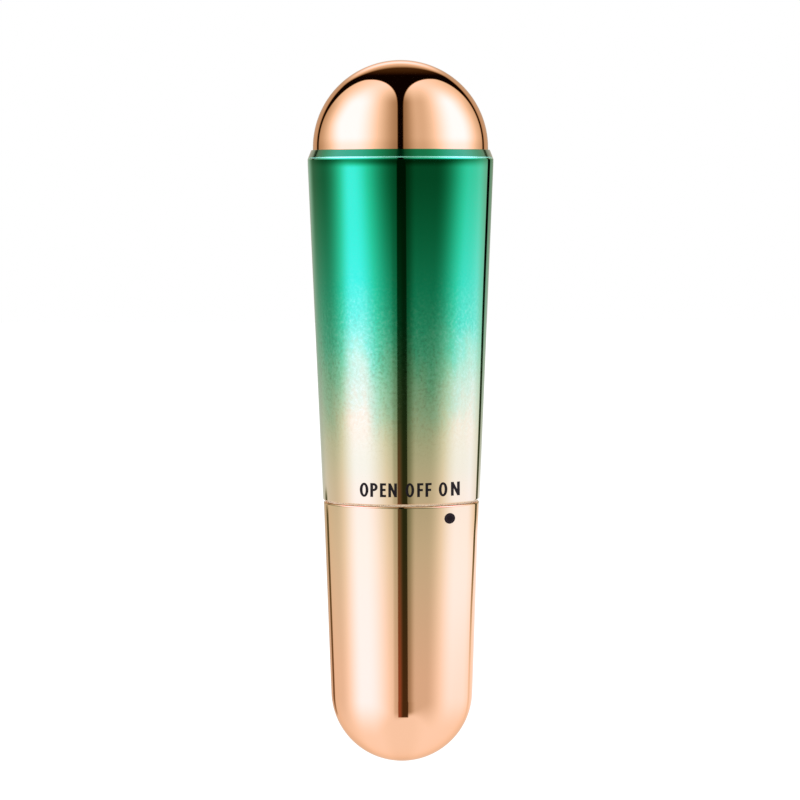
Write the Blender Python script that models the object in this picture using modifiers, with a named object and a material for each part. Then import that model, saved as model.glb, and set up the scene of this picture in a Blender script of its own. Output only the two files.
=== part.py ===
"""A battery facial massager: a tapered handle with a domed vibrating head, and a base that twists to switch it.

The base turns between three places, open, off and on, and is modelled at on. It locks by two lugs in L-shaped
tracks, and pulls off at open to free the cell. A small motor with an eccentric weight shakes the dome.
Lengths are in millimetres and angles in degrees; the mesh helpers turn them into metres and radians.
The origin is the lowest point of the rounded base, and +Z runs up the axis to the top of the dome.
"""

import math

import bmesh
import bpy

MM = 0.001
ROUND_STEPS = 40  # facets round a large turned piece
MEDIUM_STEPS = 32
SMALL_STEPS = 20

# Outside form
LENGTH = 118.0
DOME_RADIUS = 14.78
DOME_WALL = 1.5
HANDLE_BOTTOM = 44.4
HANDLE_BOTTOM_RADIUS = 13.05
HANDLE_EDGE = 0.35  # rounding of the handle's lower edge
RIM_START = 101.25  # where the taper ends and the rim rounds over
RIM_RADIUS = 15.72
RIM_HEIGHT = 1.55
RIM_WIDTH = 0.73
HANDLE_WALL = 1.6
BASE_END_RADIUS = 11.83
BASE_TOP = 43.75
BASE_TOP_RADIUS = 12.97
BASE_EDGE = 0.3
BASE_WALL = 1.5

# Fits
FIT = 0.2  # clearance between pieces that seat on each other
SHEET = 0.3  # contact metal
STRIP_HALF_WIDTH = 1.5
LEAD_RADIUS = 0.42

# Twist switch, angles counted from +X at the on position
MARK_STEP = 28.0  # from one mark to the next
OPEN_TURN = 2 * MARK_STEP
LUG_ANGLES = (40.0, 220.0)
LUG_WIDTH = 16.0
LUG_BOTTOM = 50.2
LUG_HEIGHT = 2.0
LUG_RADIUS = 10.3
TRACK_PLAY = 1.5
DETENT_ANGLES = (130.0, 310.0)
DETENT_WIDTH = 18.0
SOCKET_BORE = 9.35
SOCKET_RADIUS = 11.25
SOCKET_BOTTOM = 45.6
SOCKET_TOP = 56.6

# Cell, AA size
CELL_RADIUS = 7.1
CELL_BOTTOM = 10.5
CELL_CAN_TOP = 59.5
CELL_NUB_RADIUS = 2.65
CELL_NUB_TOP = 60.8

# Liner of the base
LINER_BORE = 7.45
LINER_RADIUS = 8.9
LINER_BOTTOM = 5.0
LINER_FLOOR = 6.5
LINER_TOP = 57.0
FLANGE_BOTTOM = 43.95
FLANGE_TOP = 44.2
FLANGE_RADIUS = 12.7
LINER_RIBS = 6
SEAL_RADIUS = 10.0
SEAL_SECTION = 0.45

# Chassis and motor, a 20 mm can with two flats
CHASSIS_FLOOR_BOTTOM = 61.5
CHASSIS_FLOOR_TOP = 62.7
CHASSIS_TOP = 93.0
CHASSIS_WALL = 1.2
MOTOR_RADIUS = 10.05
MOTOR_HALF_FLAT = 7.55
MOTOR_BACK = 68.0
CAN_BACK = 73.0
CAN_FRONT = 93.0
CAN_WALL = 0.9
MOTOR_BOSS_RADIUS = 3.07
REAR_BOSS_RADIUS = 5.0
SHAFT_RADIUS = 1.0
BUSH_BORE = 1.05
BUSH_RADIUS = 2.4
SHAFT_BOTTOM = 66.9
SHAFT_TOP = 103.0
SCREW_OFFSET = 10.4  # of the two clamp screws from the axis
SKIRT_RADIUS = 13.75
SKIRT_BORE = 12.4
SKIRT_BOTTOM = 96.9
SEAT_BORE = 14.0  # counterbore in the handle that takes the dome's skirt
LEDGE = 100.3  # step in the handle that the dome's shoulder stands on
LIP_BORE = 14.94

DOME_CENTRE = LENGTH - DOME_RADIUS
HANDLE_TAPER = (RIM_RADIUS - HANDLE_BOTTOM_RADIUS) / (RIM_START - HANDLE_BOTTOM)
BASE_TAPER = math.atan((BASE_TOP_RADIUS - BASE_END_RADIUS) / (BASE_TOP - BASE_END_RADIUS))


def handle_outside(height):
    """Outer radius of the tapered handle."""
    return HANDLE_BOTTOM_RADIUS + (height - HANDLE_BOTTOM) * HANDLE_TAPER


def handle_inside(height):
    return handle_outside(height) - HANDLE_WALL


def base_outside(height):
    """Outer radius of the base above its rounded end."""
    return BASE_TOP_RADIUS - (BASE_TOP - height) * math.tan(BASE_TAPER)


def turn(point, angle):
    """A point of a plan turned about the axis."""
    a = math.radians(angle)
    return (
        point[0] * math.cos(a) - point[1] * math.sin(a),
        point[0] * math.sin(a) + point[1] * math.cos(a),
    )


def arc(centre, radius, start, end, steps):
    """Points along an arc, both ends included."""
    points = []
    for i in range(steps + 1):
        a = math.radians(start + (end - start) * i / steps)
        points.append((centre[0] + radius * math.cos(a), centre[1] + radius * math.sin(a)))
    return points


def sector(inner, outer, middle, width, steps=6):
    """Plan of a slice of a ring."""
    low, high = middle - width / 2, middle + width / 2
    return arc((0, 0), outer, low, high, steps) + arc((0, 0), inner, high, low, steps)


def rectangle(left, right, front, back):
    return [(left, front), (right, front), (right, back), (left, back)]


def flatted_circle(radius, half_flat, steps=10):
    """Plan of a round motor case with two flats, across Y."""
    corner = math.degrees(math.asin(half_flat / radius))
    right = arc((0, 0), radius, -corner, corner, steps)
    left = arc((0, 0), radius, 180 - corner, 180 + corner, steps)
    return right + left


def make_material(name, colour, roughness, metallic):
    material = bpy.data.materials.new(name)
    material.use_nodes = True
    shader = material.node_tree.nodes["Principled BSDF"]
    shader.inputs["Base Color"].default_value = (*colour, 1.0)
    shader.inputs["Roughness"].default_value = roughness
    shader.inputs["Metallic"].default_value = metallic
    material.diffuse_color = (*colour, 1.0)
    return material


def finish(obj, material):
    """Gives a piece its material and smooth shading with sharp corners."""
    obj.data.materials.clear()
    obj.data.materials.append(material)
    return obj


def new_object(name, mesh):
    obj = bpy.data.objects.new(name, mesh)
    PARTS.objects.link(obj)
    return obj


def turned(name, profile, closed=False, steps=ROUND_STEPS):
    """A profile of (radius, height) points turned about the axis. It runs down its outer side."""
    mesh = bpy.data.meshes.new(name)
    points = [(r * MM, 0.0, z * MM) for r, z in profile]
    edges = [(i, i + 1) for i in range(len(points) - 1)]
    if closed:
        edges.append((len(points) - 1, 0))
    mesh.from_pydata(points, edges, [])
    obj = new_object(name, mesh)
    screw = obj.modifiers.new("turned", "SCREW")
    screw.angle = math.tau
    screw.steps = steps
    screw.render_steps = steps
    screw.use_merge_vertices = True
    screw.merge_threshold = 0.00001
    screw.use_smooth_shade = True
    return obj


def mesh_from_curve(curve_object):
    """Turns a curve object into a closed mesh object of the same name."""
    bpy.context.view_layer.update()
    graph = bpy.context.evaluated_depsgraph_get()
    mesh = bpy.data.meshes.new_from_object(curve_object.evaluated_get(graph))
    work = bmesh.new()
    work.from_mesh(mesh)
    bmesh.ops.remove_doubles(work, verts=work.verts, dist=0.000001)
    bmesh.ops.recalc_face_normals(work, faces=work.faces)
    work.to_mesh(mesh)
    work.free()
    name = curve_object.name
    matrix = curve_object.matrix_world.copy()
    bpy.data.objects.remove(curve_object)
    obj = new_object(name, mesh)
    obj.matrix_world = matrix
    return obj


def slab(name, outlines, low, high, side_view=False):
    """A flat outline, with any further ones as holes in it, extruded from low to high.

    In plan the outline is (x, y) and it rises. In side view it is (x, z), and it is extruded along -Y.
    """
    curve = bpy.data.curves.new(name, "CURVE")
    curve.dimensions = "2D"
    curve.fill_mode = "BOTH"
    curve.extrude = (high - low) / 2 * MM
    for outline in outlines:
        spline = curve.splines.new("POLY")
        spline.points.add(len(outline) - 1)
        for point, (x, y) in zip(spline.points, outline):
            point.co = (x * MM, y * MM, 0, 1)
        spline.use_cyclic_u = True
    obj = bpy.data.objects.new(name, curve)
    PARTS.objects.link(obj)
    middle = (low + high) / 2 * MM
    if side_view:
        obj.rotation_euler = (math.pi / 2, 0, 0)
        obj.location = (0, middle, 0)
    else:
        obj.location = (0, 0, middle)
    return mesh_from_curve(obj)


def wire(name, points, radius, resolution=1):
    """A round wire through points, with closed ends."""
    curve = bpy.data.curves.new(name, "CURVE")
    curve.dimensions = "3D"
    curve.bevel_depth = radius * MM
    curve.bevel_resolution = resolution
    curve.use_fill_caps = True
    spline = curve.splines.new("POLY")
    spline.points.add(len(points) - 1)
    for point, (x, y, z) in zip(spline.points, points):
        point.co = (x * MM, y * MM, z * MM, 1)
    obj = bpy.data.objects.new(name, curve)
    PARTS.objects.link(obj)
    return obj


def catmull_rom(before, start, end, after, t):
    """A coordinate t of the way from start to end, on the curve that also passes through before and after."""
    slope = end - before
    bend = 2 * before - 5 * start + 4 * end - after
    rest = 3 * start - before - 3 * end + after
    return 0.5 * (2 * start + slope * t + bend * t**2 + rest * t**3)


def smooth_path(knots, steps):
    """Points along a Catmull-Rom curve through the knots."""
    ends = [knots[0], *knots, knots[-1]]
    points = []
    for before, start, end, after in zip(ends, ends[1:], ends[2:], ends[3:]):
        for i in range(steps):
            points.append(tuple(catmull_rom(*axis, i / steps) for axis in zip(before, start, end, after)))
    points.append(tuple(knots[-1]))
    return points


def turned_about_axis(obj, angle):
    obj.rotation_euler.rotate_axis("Z", math.radians(angle))
    return obj


def boolean(target, operation, tools):
    """Cuts the tools from the target, or joins them to it. The tools become hidden helpers."""
    for tool in tools:
        modifier = target.modifiers.new(tool.name, "BOOLEAN")
        modifier.operation = operation
        modifier.object = tool
        tool.hide_render = True
        tool.display_type = "WIRE"
        if tool.name in PARTS.objects:
            PARTS.objects.unlink(tool)
            CUTTERS.objects.link(tool)
    return target


def cut(target, *tools):
    return boolean(target, "DIFFERENCE", tools)


def join(target, *tools):
    return boolean(target, "UNION", tools)


def keep_inside(target, tool):
    return boolean(target, "INTERSECT", [tool])


def rod(name, radius, low, high, x=0.0, y=0.0, steps=SMALL_STEPS):
    """A plain cylinder standing at (x, y)."""
    mesh = bpy.data.meshes.new(name)
    work = bmesh.new()
    bmesh.ops.create_cone(
        work,
        cap_ends=True,
        segments=steps,
        radius1=radius * MM,
        radius2=radius * MM,
        depth=(high - low) * MM,
    )
    work.to_mesh(mesh)
    work.free()
    obj = new_object(name, mesh)
    obj.location = (x * MM, y * MM, (low + high) / 2 * MM)
    return obj


def bush(name, bore, radius, low, high):
    """A plain ring."""
    profile = [(bore, high), (radius, high), (radius, low), (bore, low)]
    return turned(name, profile, closed=True, steps=SMALL_STEPS)


# Handle and head


def make_handle_shell():
    """The tapered outer shell, loaded with everything else from its wide end."""
    bore = SOCKET_RADIUS + FIT
    stop_bore = SEAL_RADIUS + SEAL_SECTION + 2 * FIT
    groove_depth = 0.4
    rim = [
        (RIM_RADIUS - RIM_WIDTH + (x - RIM_RADIUS) * RIM_WIDTH, RIM_START + z * RIM_HEIGHT)
        for x, z in arc((RIM_RADIUS, 0), 1.0, 90, 0, 5)
    ]
    edge_radius = handle_outside(HANDLE_BOTTOM + HANDLE_EDGE)
    lower_edge = arc((edge_radius - HANDLE_EDGE, HANDLE_BOTTOM + HANDLE_EDGE), HANDLE_EDGE, 0, -90, 3)
    inside = [
        (stop_bore, HANDLE_BOTTOM),
        (stop_bore, SOCKET_BOTTOM - FIT),
        (bore, SOCKET_BOTTOM - FIT),
        (bore, SOCKET_TOP + 0.6),
        (handle_inside(SOCKET_TOP + 1.2), SOCKET_TOP + 1.2),
        (handle_inside(94.4), 94.4),
        (SEAT_BORE, 94.8),
        (SEAT_BORE, 97.1),
        (SEAT_BORE + groove_depth, 97.4),
        (SEAT_BORE + groove_depth, 98.3),
        (SEAT_BORE, 98.6),
        (SEAT_BORE, LEDGE),
        (LIP_BORE, LEDGE),
    ]
    return turned("handle_shell", rim + lower_edge + inside, closed=True)


def make_dome_head():
    """The plated dome: a hollow half ball on a skirt that snaps into the handle."""
    shoulder = LEDGE + 0.9
    bead = 0.3
    outside = arc((0, DOME_CENTRE), DOME_RADIUS, 90, 0, 11)
    skirt = [
        (DOME_RADIUS, shoulder),
        (SKIRT_RADIUS, shoulder),
        (SKIRT_RADIUS, 98.4),
        (SKIRT_RADIUS + bead, 98.1),
        (SKIRT_RADIUS + bead, 97.6),
        (SKIRT_RADIUS, 97.3),
        (SKIRT_RADIUS, SKIRT_BOTTOM),
        (SKIRT_BORE, SKIRT_BOTTOM),
    ]
    inner_radius = DOME_RADIUS - DOME_WALL
    spring_line = math.degrees(math.acos(SKIRT_BORE / inner_radius))
    inside = arc((0, DOME_CENTRE), inner_radius, spring_line, 90, 5)
    return turned("dome_head", outside + skirt + inside)


def make_head_gasket():
    """Flat silicone ring under the dome's shoulder."""
    low, high = LEDGE + 0.15, LEDGE + 0.75
    return turned(
        "head_gasket",
        [(14.15, high), (14.75, high), (14.75, low), (14.15, low)],
        closed=True,
        steps=MEDIUM_STEPS,
    )


def make_cushion_ring():
    """Foam ring between the motor clamp and the dome's skirt, which presses the inner pieces down."""
    low, high = 94.9, SKIRT_BOTTOM - FIT
    outline = [(12.5, high), (13.3, high), (13.3, low), (12.5, low)]
    return turned("cushion_ring", outline, closed=True, steps=MEDIUM_STEPS)


def make_motor_clamp():
    """Disc screwed over the motor's front, with a hole for its boss."""
    low, high = CHASSIS_TOP + FIT, CHASSIS_TOP + FIT + 1.5
    clamp = turned(
        "motor_clamp",
        [(3.4, high), (12.9, high), (13.35, high - 0.45), (13.35, low), (3.4, low)],
        closed=True,
        steps=MEDIUM_STEPS,
    )
    holes = [
        rod(f"clamp_hole_{side + 1}", 1.05, low - 1, high + 1, y=side * SCREW_OFFSET)
        for side in (1, -1)
    ]
    return cut(clamp, *holes)


def make_clamp_screw(number, side):
    """Pan-head screw from the clamp down into a boss of the chassis."""
    head_low = CHASSIS_TOP + FIT + 1.5 + FIT
    profile = [
        (0, head_low + 1.2),
        (1.0, head_low + 1.1),
        (1.6, head_low + 0.6),
        (1.6, head_low),
        (0.8, head_low),
        (0.8, 86.6),
        (0, 85.8),
    ]
    screw = turned(f"clamp_screw_{number}", profile, steps=16)
    screw.location.y = side * SCREW_OFFSET * MM
    drive = slab(f"screw_slot_{number}", [rectangle(-1.9, 1.9, -0.25, 0.25)], head_low + 0.7, head_low + 2)
    drive.location.y += side * SCREW_OFFSET * MM
    return cut(screw, drive)


def make_chassis():
    """Moulded cup inside the handle: contact floor, wire chamber, motor cradle and two screw bosses."""
    skirt_radius = SOCKET_RADIUS - 0.05
    wall_low = SOCKET_TOP + 1.6
    inner_skirt = 9.9

    def outer(height):
        """Outer radius, clear of the tapered handle."""
        return handle_inside(height) - FIT - 0.05

    profile = [
        (0, CHASSIS_FLOOR_TOP),
        (outer(CHASSIS_FLOOR_TOP) - CHASSIS_WALL, CHASSIS_FLOOR_TOP),
        (outer(CHASSIS_TOP) - CHASSIS_WALL, CHASSIS_TOP),
        (outer(CHASSIS_TOP), CHASSIS_TOP),
        (outer(wall_low), wall_low),
        (skirt_radius, wall_low - 0.6),
        (skirt_radius, SOCKET_TOP + FIT + 0.05),
        (inner_skirt, SOCKET_TOP + FIT + 0.05),
        (inner_skirt, CHASSIS_FLOOR_BOTTOM),
        (0, CHASSIS_FLOOR_BOTTOM),
    ]
    chassis = turned("chassis", profile)
    rib_low, rib_high = CHASSIS_FLOOR_TOP - 0.5, CHASSIS_TOP - 0.01
    cone = turned(
        "chassis_cone",
        [
            (0, CHASSIS_TOP + 1),
            (outer(CHASSIS_TOP + 1) - 0.5, CHASSIS_TOP + 1),
            (outer(rib_low - 1) - 0.5, rib_low - 1),
            (0, rib_low - 1),
        ],
    )
    flat = MOTOR_HALF_FLAT + FIT + 0.1
    for number, side in enumerate((1, -1)):
        near, far = sorted((side * flat, side * (flat + CHASSIS_WALL)))
        wall = slab(f"cradle_wall_{number}", [rectangle(-14, 14, near, far)], rib_low, rib_high)
        join(chassis, keep_inside(wall, cone))
    for number, side in enumerate((1, -1)):
        boss = rod(f"screw_boss_{number}", 2.0, 80.0, CHASSIS_TOP - 0.02, y=side * SCREW_OFFSET, steps=16)
        join(chassis, keep_inside(boss, cone))
    seat = turned(
        "motor_seat",
        [(5.4, MOTOR_BACK - FIT), (6.6, MOTOR_BACK - FIT), (6.6, rib_low), (5.4, rib_low)],
        closed=True,
        steps=SMALL_STEPS,
    )
    gate = slab("wire_gate", [rectangle(-8, 8, -1.9, 1.9)], CHASSIS_FLOOR_TOP + 0.1, MOTOR_BACK - 1.2)
    join(chassis, cut(seat, gate))
    screw_holes = [
        rod(f"boss_hole_{i}", 1.0, 85.0, CHASSIS_TOP + 1, y=side * SCREW_OFFSET, steps=16)
        for i, side in enumerate((1, -1))
    ]
    for number, (left, right) in enumerate(((-4.4, -3.3), (8.6, 9.5))):
        outline = rectangle(left, right, -1.8, 1.8)
        cut(chassis, slab(f"contact_slot_{number}", [outline], CHASSIS_FLOOR_BOTTOM - 1, CHASSIS_FLOOR_TOP + 1))
    return cut(chassis, *screw_holes)


def make_bayonet_socket():
    """Ring in the handle's mouth. Each lug enters by an upright slot at open and turns along its track to on."""
    socket = turned(
        "bayonet_socket",
        [
            (SOCKET_BORE, SOCKET_TOP),
            (SOCKET_RADIUS, SOCKET_TOP),
            (SOCKET_RADIUS, SOCKET_BOTTOM),
            (SOCKET_BORE + 0.4, SOCKET_BOTTOM),
            (SOCKET_BORE, SOCKET_BOTTOM + 0.4),
        ],
        closed=True,
    )
    depth = LUG_RADIUS + FIT + 0.05
    track_low = LUG_BOTTOM - FIT
    track_high = LUG_BOTTOM + LUG_HEIGHT + FIT
    for number, angle in enumerate(LUG_ANGLES):
        width = LUG_WIDTH + 2 * TRACK_PLAY
        track = slab(
            f"lug_track_{number}",
            [sector(SOCKET_BORE - 1, depth, angle - OPEN_TURN / 2, OPEN_TURN + width, 18)],
            track_low,
            track_high,
        )
        entry = slab(
            f"lug_entry_{number}",
            [sector(SOCKET_BORE - 1, depth, angle - OPEN_TURN, width)],
            SOCKET_BOTTOM - 1,
            track_low + 0.5,
        )
        cut(socket, track, entry)
    for number, angle in enumerate(DETENT_ANGLES):
        for mark in range(3):
            x, y = turn((SOCKET_BORE + 0.15, 0), angle - mark * MARK_STEP)
            cut(socket, rod(f"detent_notch_{number}_{mark}", 0.6, 53.4, SOCKET_TOP + 1, x, y, steps=12))
    return socket


# Motor


def make_motor_can():
    """Drawn steel can with two flats, open at the back, with a boss for the front bush."""
    can = slab("motor_can", [flatted_circle(MOTOR_RADIUS, MOTOR_HALF_FLAT)], CAN_BACK, CAN_FRONT)
    hollow = slab(
        "can_hollow",
        [flatted_circle(MOTOR_RADIUS - CAN_WALL, MOTOR_HALF_FLAT - CAN_WALL)],
        CAN_BACK - 1,
        CAN_FRONT - 1.0,
    )
    boss = rod("front_boss", MOTOR_BOSS_RADIUS, CAN_FRONT - 0.5, CAN_FRONT + 1.6)
    bore = rod("front_bush_seat", 2.6, CAN_FRONT - 2, CAN_FRONT + 3)
    return cut(join(cut(can, hollow), boss), bore)


def make_motor_end_cap():
    """Moulded rear cover of the motor, with a pocket for the brushes and slots for the terminals."""
    cap = slab("motor_end_cap", [flatted_circle(MOTOR_RADIUS, MOTOR_HALF_FLAT)], MOTOR_BACK, CAN_BACK - FIT)
    boss = rod("rear_boss", REAR_BOSS_RADIUS, MOTOR_BACK - 1.6, MOTOR_BACK + 0.5)
    pocket = slab("brush_pocket", [rectangle(-8.2, 8.2, -4.6, 4.6)], MOTOR_BACK + 1.6, CAN_BACK + 1)
    bore = rod("rear_bush_seat", 2.6, MOTOR_BACK - 1.2, MOTOR_BACK + 3)
    join(cap, boss)
    for side in (1, -1):
        across = sorted((side * 7.2, side * 7.95))
        along = sorted((side * 1.0, side * 3.9))
        cut(cap, slab(f"terminal_slot_{side + 1}", [rectangle(*across, *along)], MOTOR_BACK - 2, MOTOR_BACK + 3))
    return cut(cap, pocket, bore)


def make_magnet(number, middle):
    """Curved magnet against the can's wall."""
    outline = sector(7.1, MOTOR_RADIUS - CAN_WALL - FIT, middle, 76, 10)
    return slab(f"motor_magnet_{number}", [outline], CAN_BACK + 2, CAN_FRONT - 4)


def make_terminal(number, side):
    """Solder tag that passes through the end cap to its brush arm."""
    x = sorted((side * 7.4, side * 7.7))
    y = sorted((side * 1.2, side * 3.7))
    return slab(f"motor_terminal_{number}", [rectangle(*x, *y)], 64.8, 72.4)


def make_brush(number, side):
    """Springy arm that runs from a terminal past the commutator, with a carbon block on it."""
    arm = sorted((side * 2.55, side * 2.8))
    block = sorted((side * 2.42, side * 2.7))
    brush = slab(f"motor_brush_{number}", [rectangle(*sorted((side * -1.8, side * 7.2)), *arm)], 70.8, 72.2)
    carbon = slab(f"carbon_{number}", [rectangle(-1.0, 1.0, *block)], 70.9, 72.1)
    return join(brush, carbon)


def make_rotor_core():
    """Three-pole laminated core: a hub with necks that widen into curved pole shoes."""
    neck, hub, shoe_inner, shoe_outer, shoe_half = 1.1, 2.3, 5.3, 6.6, 48.0
    outline = []
    for pole in range(3):
        shoe = arc((0, 0), shoe_outer, -shoe_half, shoe_half, 8)
        under = arc((0, 0), shoe_inner, shoe_half, math.degrees(math.asin(neck / shoe_inner)), 4)
        lower = [(x, -y) for x, y in reversed(under)]
        foot = math.sqrt(hub**2 - neck**2)
        tooth = [(foot, -neck), *lower, *shoe, *under, (foot, neck)]
        outline += [turn(p, pole * 120) for p in tooth]
    bore = arc((0, 0), SHAFT_RADIUS + 0.15, 0, 330, 11)
    return slab("rotor_core", [outline, bore], 76, 88)


def make_winding(number):
    """Copper coil round one neck of the core."""
    outer = rectangle(-2.4, 2.4, 75.0, 89.0)
    inner = rectangle(-1.35, 1.35, 75.8, 88.2)
    coil = slab(f"rotor_winding_{number}", [outer, inner], -4.6, -2.9, side_view=True)
    bevel = coil.modifiers.new("rounded", "BEVEL")
    bevel.width = 0.35 * MM
    bevel.segments = 2
    bevel.limit_method = "ANGLE"
    holder = coil.matrix_world.copy()
    coil.data.transform(holder)
    coil.matrix_world.identity()
    return turned_about_axis(coil, 90 + 120 * (number - 1))


def make_commutator():
    commutator = bush("commutator", SHAFT_RADIUS + 0.15, 2.2, 70.2, 74.6)
    cuts = []
    for number in range(3):
        gap = slab(f"commutator_gap_{number}", [rectangle(1.7, 3, -0.15, 0.15)], 69, 74)
        cuts.append(turned_about_axis(gap, 60 + 120 * number))
    return cut(commutator, *cuts)


def make_eccentric_weight():
    """Half disc on a hub, which shakes the head as it spins."""
    half_disc = arc((0, 0), 7.6, -88, 88, 18)
    hub = arc((0, 0), 2.7, 100, 260, 10)
    bore = arc((0, 0), SHAFT_RADIUS + 0.15, 0, 330, 11)
    weight = slab("eccentric_weight", [half_disc + hub, bore], 96.2, 102.2)
    bevel = weight.modifiers.new("edges", "BEVEL")
    bevel.width = 0.3 * MM
    bevel.segments = 1
    bevel.limit_method = "ANGLE"
    bevel.angle_limit = math.radians(60)
    return weight


# Contacts and leads


def make_positive_contact():
    """Disc over the cell's nub, with a tail through the chassis floor."""
    low = CELL_NUB_TOP + FIT
    disc = rod("positive_contact", 3.4, low, low + SHEET)
    tail = slab(
        "positive_tail",
        [
            [
                (-2.0, low + 0.04),
                (-2.0, low + SHEET - 0.04),
                (-3.7, low + SHEET - 0.04),
                (-3.7, 65.6),
                (-4.0, 65.6),
                (-4.0, low + 0.04),
            ]
        ],
        -STRIP_HALF_WIDTH,
        STRIP_HALF_WIDTH,
        side_view=True,
    )
    return join(disc, tail)


def make_switch_contact():
    """Leaf fixed in the chassis. The base's own contact is under it only at the on mark."""
    foot = LINER_TOP + 0.2 + SHEET + FIT
    outline = [
        (7.7, foot),
        (7.7, foot + SHEET),
        (8.9, foot + SHEET),
        (8.9, 65.6),
        (9.2, 65.6),
        (9.2, foot),
    ]
    return slab("switch_contact", [outline], -STRIP_HALF_WIDTH, STRIP_HALF_WIDTH, side_view=True)


def make_leads():
    """Two short insulated wires from the contacts to the motor's terminals."""
    red = [(-4.55, 0.5, 64.6), (-5.6, 1.0, 64.3), (-7.2, 0.9, 64.0), (-8.6, -0.6, 64.1), (-8.25, -2.4, 64.9)]
    black = [
        (8.35, -0.9, 64.9),
        (7.9, -2.9, 64.2),
        (8.6, -4.6, 64.0),
        (9.4, -2.4, 64.3),
        (9.85, 0.6, 64.6),
        (9.3, 2.9, 64.6),
        (8.25, 2.9, 65.1),
    ]
    return [
        wire("red_lead", smooth_path(red, 3), LEAD_RADIUS),
        wire("black_lead", smooth_path(black, 3), LEAD_RADIUS),
    ]


# Base, cell and seal


def make_base_cap():
    """Outer shell of the base, a tapered cup with a rounded end."""
    tangent = math.degrees(BASE_TAPER)
    centre = (0, BASE_END_RADIUS)
    inner_radius = BASE_END_RADIUS - BASE_WALL
    top_inner = BASE_TOP_RADIUS - BASE_WALL
    inside = arc(centre, inner_radius, -90, -tangent, 6)
    rim = [(top_inner, BASE_TOP - 0.3), (top_inner + 0.3, BASE_TOP)]
    edge = arc((BASE_TOP_RADIUS - BASE_EDGE, BASE_TOP - BASE_EDGE), BASE_EDGE, 90, 0, 2)
    outside = arc(centre, BASE_END_RADIUS, -tangent, -90, 10)
    return turned("base_cap", inside + rim + edge + outside)


def make_base_liner():
    """White tube fixed in the base. It holds the cell and carries the lugs, and its flange shows at the seam."""
    profile = [
        (0, LINER_FLOOR),
        (LINER_BORE, LINER_FLOOR),
        (LINER_BORE, LINER_TOP - 0.4),
        (LINER_BORE + 0.4, LINER_TOP),
        (LINER_RADIUS - 0.3, LINER_TOP),
        (LINER_RADIUS, LINER_TOP - 0.6),
        (LINER_RADIUS, FLANGE_TOP),
        (FLANGE_RADIUS, FLANGE_TOP),
        (FLANGE_RADIUS, FLANGE_BOTTOM),
        (BASE_TOP_RADIUS - BASE_WALL - FIT, FLANGE_BOTTOM),
        (BASE_TOP_RADIUS - BASE_WALL - FIT - 0.1, FLANGE_BOTTOM - 2.2),
        (LINER_RADIUS, FLANGE_BOTTOM - 2.6),
        (LINER_RADIUS, 8.0),
        (7.4, LINER_BOTTOM),
        (0, LINER_BOTTOM),
    ]
    liner = turned("base_liner", profile)
    rib_low, rib_high = 13.0, FLANGE_BOTTOM - 2.0
    reach = BASE_WALL + FIT
    rib_outline = [
        (LINER_RADIUS - 0.5, rib_low),
        (base_outside(rib_low) - reach, rib_low),
        (base_outside(rib_high) - reach, rib_high),
        (LINER_RADIUS - 0.5, rib_high),
    ]
    for number in range(LINER_RIBS):
        rib = slab(f"liner_rib_{number}", [rib_outline], -0.6, 0.6, side_view=True)
        rib.data.transform(rib.matrix_world)
        rib.matrix_world.identity()
        join(liner, turned_about_axis(rib, 360 / LINER_RIBS * (number + 0.5)))
    for number, angle in enumerate(LUG_ANGLES):
        lug = slab(
            f"lug_{number}",
            [sector(LINER_RADIUS - 0.5, LUG_RADIUS, angle, LUG_WIDTH)],
            LUG_BOTTOM,
            LUG_BOTTOM + LUG_HEIGHT,
        )
        join(liner, lug)
    for number, angle in enumerate(DETENT_ANGLES):
        x, y = turn((LINER_RADIUS - 0.25, 0), angle)
        join(liner, rod(f"detent_bump_{number}", 0.5, 54.2, 55.8, x, y, steps=12))
        for side in (-1, 1):
            outline = sector(LINER_BORE - 1, LINER_RADIUS + 1, angle + side * DETENT_WIDTH / 2, 4, 1)
            cut(liner, slab(f"finger_slot_{number}_{side + 1}", [outline], 53, LINER_TOP + 3))
    groove = rectangle(LINER_BORE - 1, LINER_BORE + 0.55, -1.8, 1.8)
    return cut(liner, slab("contact_groove", [groove], LINER_FLOOR - 0.2, LINER_TOP + 3))


def make_base_contact():
    """A disc under the spring, with a strip up the liner's groove and a tab over the liner's edge."""
    low = LINER_FLOOR + FIT
    inner = LINER_BORE + 0.05
    disc = rod("base_contact", 6.3, low - 0.03, low + SHEET + 0.03)
    strip = slab(
        "contact_strip",
        [
            [
                (4.0, low),
                (4.0, low + SHEET),
                (inner, low + SHEET),
                (inner, LINER_TOP + 0.2 + SHEET),
                (LINER_RADIUS, LINER_TOP + 0.2 + SHEET),
                (LINER_RADIUS, LINER_TOP + 0.2),
                (inner + SHEET, LINER_TOP + 0.2),
                (inner + SHEET, low),
            ]
        ],
        -STRIP_HALF_WIDTH,
        STRIP_HALF_WIDTH,
        side_view=True,
    )
    return join(disc, strip)


def make_cell_spring():
    """Conical spring under the cell, drawn at the height it has under load."""
    turns, per_turn, wire_radius = 3.5, 10, 0.28
    wide, narrow = 5.9, 2.7
    low = LINER_FLOOR + FIT + SHEET + 0.1 + wire_radius
    high = CELL_BOTTOM - FIT - wire_radius
    count = int(turns * per_turn)
    points = []
    for i in range(count + 1):
        share = i / count
        a = math.tau * turns * share
        r = wide + (narrow - wide) * share
        points.append((r * math.cos(a), r * math.sin(a), low + (high - low) * share))
    gaps = [
        math.dist(p, q) - 2 * wire_radius for i, p in enumerate(points) for q in points[i + per_turn // 2 :]
    ]
    print(f"cell_spring: least gap to itself {min(gaps):.2f} mm")
    return wire("cell_spring", points, wire_radius)


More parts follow.
